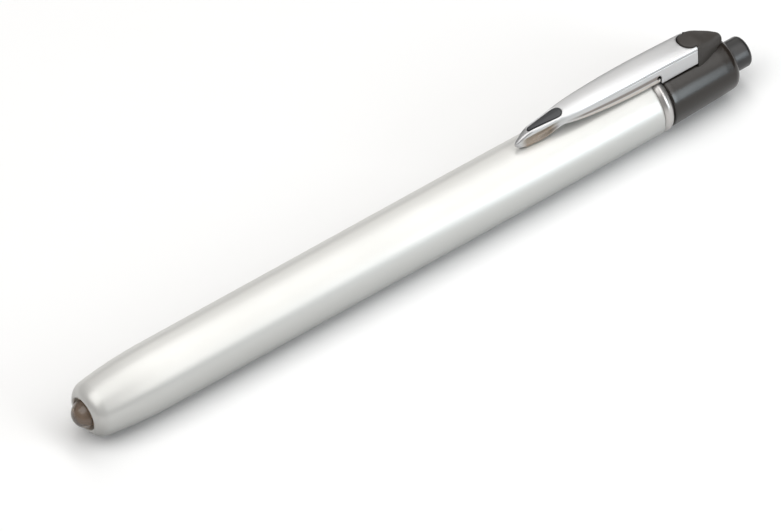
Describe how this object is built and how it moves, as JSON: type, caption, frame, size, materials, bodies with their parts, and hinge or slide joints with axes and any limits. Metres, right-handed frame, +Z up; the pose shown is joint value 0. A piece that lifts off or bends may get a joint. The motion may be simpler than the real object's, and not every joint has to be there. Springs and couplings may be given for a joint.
{
  "type": "penlight",
  "caption": "Pocket penlight with a satin barrel, small front lamp, dark tail cap with push button, and a sprung metal clip.",
  "frame": {"origin": "bottom centre of the bounding box, under the barrel midway between lamp tip and button end", "axes": "+X along the barrel towards the push button, +Z up through the clip, +Y across"},
  "size_m": [0.1406, 0.012, 0.0164],
  "materials": {
    "satin_metal": "satin anodised",
    "polished_metal": "polished",
    "clip_metal": "light satin",
    "black_inlay": "soft gloss",
    "keeper_plastic": "fine matt",
    "cap_plastic": "satin",
    "button_plastic": "satin",
    "seal_rubber": "matt",
    "lamp_resin": "clear, faint warm tint",
    "leg_metal": "tinned",
    "phosphor": "yellow gel",
    "black_plastic": "matt",
    "ceramic": "matt",
    "contact_brass": "bright",
    "board": "lacquered",
    "cell_steel": "plated",
    "cell_seal": "matt",
    "cell_sleeve": "shrink film, plain",
    "spring_steel": "nickel plated",
    "switch_plastic": "natural"
  },
  "bodies": {
    "barrel_unit": {"barrel": "satin_metal", "lens_gasket": "seal_rubber", "lamp_dome": "lamp_resin", "lamp_cathode": "leg_metal", "lamp_anode": "leg_metal", "lamp_phosphor": "phosphor", "lamp_bush": "black_plastic", "resistor": "ceramic", "ground_ring": "contact_brass", "lamp_board": "board", "positive_stud": "contact_brass", "board_retainer": "black_plastic", "front_cell_can": "cell_steel", "front_cell_seal": "cell_seal", "front_cell_base": "cell_steel", "front_cell_sleeve": "cell_sleeve", "rear_cell_can": "cell_steel", "rear_cell_seal": "cell_seal", "rear_cell_base": "cell_steel", "rear_cell_sleeve": "cell_sleeve"},
    "seal_unit": {"neck_seal": "seal_rubber", "battery_spring": "spring_steel"},
    "tail_unit": {"neck": "polished_metal", "spring_seat": "contact_brass", "switch_housing": "switch_plastic", "centre_terminal": "contact_brass", "side_contact": "contact_brass", "switch_cover": "switch_plastic", "return_spring": "spring_steel", "tail_cap": "cap_plastic", "clip_keeper": "keeper_plastic"},
    "button_unit": {"push_button": "button_plastic", "plunger": "switch_plastic", "bridge_contact": "contact_brass"},
    "clip_unit": {"clip": "clip_metal", "clip_inlay": "black_inlay"}
  },
  "joints": [
    {"name": "cap_turn", "type": "hinge", "parent": "seal_unit", "child": "tail_unit", "pos_m": [0.05165, 0, 0.006], "axis": [1, 0, 0], "range_deg": [0, 1080]},
    {"name": "cap_travel", "type": "slide", "parent": "barrel_unit", "child": "seal_unit", "axis": [1, 0, 0], "range_m": [0, 0.00225], "deforming": ["battery_spring"]},
    {"name": "button_press", "type": "slide", "parent": "tail_unit", "child": "button_unit", "axis": [-1, 0, 0], "range_m": [0, 0.0015], "stiffness_N_per_m": 700, "springref_m": -0.0006, "deforming": ["return_spring"]},
    {"name": "clip_flex", "type": "hinge", "parent": "tail_unit", "child": "clip_unit", "pos_m": [0.05894, 0, 0.01579], "axis": [0, 1, 0], "range_deg": [0, 4], "stiffness_Nm_per_rad": 0.9, "springref_deg": -0.57}
  ],
  "couplings": [
    {"joint": "cap_turn", "follows": "cap_travel", "rad_per_m": 8377.6}
  ]
}
